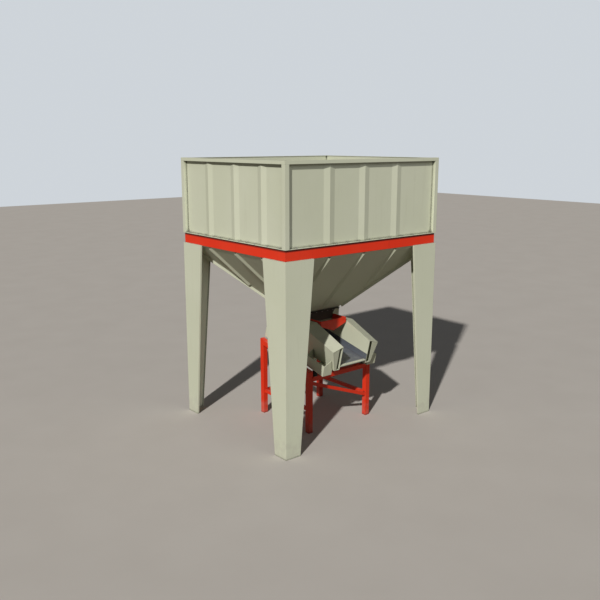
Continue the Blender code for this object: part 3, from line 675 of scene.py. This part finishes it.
def screw_heads(places, axis, radius):
    """Flat countersunk heads: a low disc with a dished drive in its middle."""
    turn = np.linspace(0.0, 2 * np.pi, 15)[:-1]
    axis = np.asarray(axis, float)
    side = np.cross(axis, (0.17, 0.91, 0.37))
    side /= np.linalg.norm(side)
    up = np.cross(axis, side)
    circle = np.cos(turn)[:, None] * side + np.sin(turn)[:, None] * up
    sizes = radius * np.array((1.0, 1.0, 0.9, 0.45, 0.35))
    heights = radius * np.array((-0.05, 0.06, 0.12, 0.12, -0.03))
    shape = sizes[:, None, None] * circle + heights[:, None, None] * axis
    return np.asarray(places, float)[:, None, None, :] + shape


liner_plates = []
screws = []
for sign in (-1, 1):
    face = sign * (PAN_HALF - LINER_THICKNESS)
    profile = [(face, 0.004, LINER_TOP), (face, 2.085, LINER_TOP), (face, 2.085, LINER_HEIGHT), (face, 0.004, LINER_HEIGHT)]
    liner_plates.append(on_pan(flat_bar(profile, (sign * LINER_THICKNESS, 0, 0), 0.0015)))
    along = np.linspace(0.10, 1.98, 9)
    screws.append(screw_heads(
        on_pan(np.stack((np.full_like(along, face), along, np.full_like(along, 0.125)), axis=1)), (-sign, 0, 0), 0.013
    ))
LIP_BAR_TOP = 0.030
lip_bar = [(-0.372, -0.002, LINER_TOP), (0.372, -0.002, LINER_TOP), (0.372, -0.002, LIP_BAR_TOP), (-0.372, -0.002, LIP_BAR_TOP)]
make_piece("pan_lip_bar", [on_pan(flat_bar(lip_bar, (0, 0.060, 0), 0.003))], pan_cream, False)
lip_x = np.linspace(-0.31, 0.31, 5)
pan_up = (0, -math.sin(PAN_SLOPE), math.cos(PAN_SLOPE))
screws.append(screw_heads(
    on_pan(np.stack((lip_x, np.full_like(lip_x, 0.030), np.full_like(lip_x, LIP_BAR_TOP)), axis=1)), pan_up, 0.011
))
make_piece("pan_liner_plates", liner_plates, liner_steel, False)
make_piece("pan_liner_screws", screws, zinc, False)

# Pan end covers
# A thin plate welded into the open front of each hollow side, short of the inner plate, so that a
# slot stays open for dust to fall out.
END_COVER = ((0.470, -0.041), (0.513, -0.041), (0.637, 0.393), (0.470, 0.444))
END_COVER_DEPTH = 0.004
end_covers = [
    on_pan(flat_bar([(sign * x, END_COVER_DEPTH, z) for x, z in END_COVER], (0, 0.006, 0), 0.0012))
    for sign in (-1, 1)
]
make_piece("pan_end_covers", end_covers, pan_cream, False)

# Pan welds
# Fillets along the outer foot of both sides, where the plates meet, and up the back plate.
SIDE_FOOT_X = 0.520
SIDE_FOOT_Z = -0.050
pan_beads = []
for sign in (-1, 1):
    ends = on_pan([(sign * SIDE_FOOT_X, 0.01, SIDE_FOOT_Z), (sign * SIDE_FOOT_X, 2.09, SIDE_FOOT_Z)])
    pan_beads.append(weld_bead(*ends, 0.004))
    ends = on_pan([(sign * (PAN_HALF + 0.003), 2.10, 0.0), (sign * (PAN_HALF + 0.003), 2.10, 0.35)])
    pan_beads.append(weld_bead(*ends, 0.005))
make_piece("pan_welds", pan_beads, pan_cream, True)

# Rubber buffers
# The pan vibrates on four moulded rubber springs, ribbed like a beehive between two steel discs.
BUFFER_X = 0.700
BUFFER_FOOT = -0.3006
BUFFER_HEIGHT = 0.130
BUFFER_RADIUS = 0.060
BUFFER_ROWS = {"front": 0.3725, "back": 1.9940}
DISC_THICKNESS = 0.008


def turned_piece(x, y, low, radii, heights):
    """Solid of revolution on a pan-upright axis: each radius is one circle at its height above low."""
    turn = np.linspace(0.0, 2 * np.pi, 33)[:-1]
    radii = np.asarray(radii, float)[:, None]
    heights = np.asarray(heights, float)[:, None]
    return on_pan(np.stack(np.broadcast_arrays(
        x + radii * np.cos(turn), y + radii * np.sin(turn), low + heights + 0.0 * turn
    ), axis=-1))[None]


rubber = painted_steel(
    "rubber", (0.018, 0.018, 0.019), (0.035, 0.035, 0.036), (0.03, 0.025, 0.02), (0.05, 0.05, 0.05), POWDER,
    (0.006, 0.006, 0.006), (0.5, 0.1, 0.4, 0.35, 0.0, 0.5, 0.1), 0.75,
)
body_height = BUFFER_HEIGHT - 2 * DISC_THICKNESS
share = np.linspace(0.0, 1.0, 37)
body_radii = BUFFER_RADIUS * (0.86 + 0.09 * np.abs(np.sin(3 * np.pi * share)))
body_radii[[0, -1]] = BUFFER_RADIUS * 0.90
rubber_bodies = []
buffer_discs = []
for row, row_y in BUFFER_ROWS.items():
    for sign in (-1, 1):
        rubber_bodies.append(turned_piece(
            sign * BUFFER_X, row_y, BUFFER_FOOT + DISC_THICKNESS, body_radii, share * body_height
        ))
        for low in (BUFFER_FOOT, BUFFER_FOOT + BUFFER_HEIGHT - DISC_THICKNESS):
            buffer_discs.append(turned_piece(
                sign * BUFFER_X, row_y, low,
                BUFFER_RADIUS * np.array((0.96, 1.0, 1.0, 0.96)), DISC_THICKNESS * np.array((0.0, 0.2, 0.8, 1.0)),
            ))
buffers = make_piece("rubber_buffers", rubber_bodies, rubber, True)
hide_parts(*[name for name in nodes if name.startswith("isolator_")])
make_piece("buffer_discs", buffer_discs, zinc, False)

# Feeder frame
# Welded square tube in signal red, standing on the ground by itself. The open tops of the posts
# are closed with thin plates and every joint has a bead all round.
frame_red = painted_steel(
    "frame_red", RED, RED_FADED, RED_STAIN, RED_WORN_HIGHLIGHT, POWDER, RED_SHADE,
    (0.45, 0.20, 0.55, 0.25, 0.22, 0.7, 0.15), 0.42,
)
dress(frame_red, *[name for name in nodes if name.startswith("frame_")])
FRAME_X = 0.840
FRAME_FRONT = -1.000
FRAME_BACK = 0.580
FRAME_HALF = 0.055
POST_TOP = 1.370
rise = math.tan(PAN_SLOPE)


def bead_loop(loop, radius):
    """Beads along the sides of a closed loop of points."""
    return [weld_bead(loop[k], loop[(k + 1) % len(loop)], radius) for k in range(len(loop))]


frame_caps = []
frame_beads = []
for sign in (-1, 1):
    for y in (FRAME_FRONT, FRAME_BACK):
        top = POST_TOP + (y - FRAME_FRONT) * rise
        cap = [
            (sign * FRAME_X + dx, y + dy, top + dy * rise + 0.0004)
            for dx, dy in ((-0.053, -0.053), (0.053, -0.053), (0.053, 0.053), (-0.053, 0.053))
        ]
        frame_caps.append(flat_bar(cap, (0, 0, 0.006), 0.0015))
    for y in (FRAME_FRONT + FRAME_HALF, FRAME_BACK - FRAME_HALF):
        middle = POST_TOP + (y - FRAME_FRONT) * rise - FRAME_HALF / math.cos(PAN_SLOPE)
        for centre, half in ((middle, FRAME_HALF), (0.52, 0.035)):
            frame_beads += bead_loop(
                [(sign * FRAME_X + dx * half, y, centre + dz * half) for dx, dz in MITRES], 0.005
            )
    for row_y in BUFFER_ROWS.values():
        frame_beads += bead_loop(
            [on_pan((sign * 0.785, row_y + dy * FRAME_HALF, -0.3559 + dz * FRAME_HALF)) for dy, dz in MITRES], 0.005
        )
    frame_beads += bead_loop([(sign * 0.785, FRAME_BACK + dy * 0.035, 0.52 + dz * 0.035) for dy, dz in MITRES], 0.005)
    brace_z = 1.09 if sign < 0 else 0.50
    frame_beads += bead_loop(
        [(sign * 0.785, FRAME_FRONT + dy * 0.035, brace_z + dz * 0.037) for dy, dz in MITRES], 0.005
    )
make_piece("frame_post_caps", frame_caps, frame_red, False)
make_piece("frame_welds", frame_beads, frame_red, True)
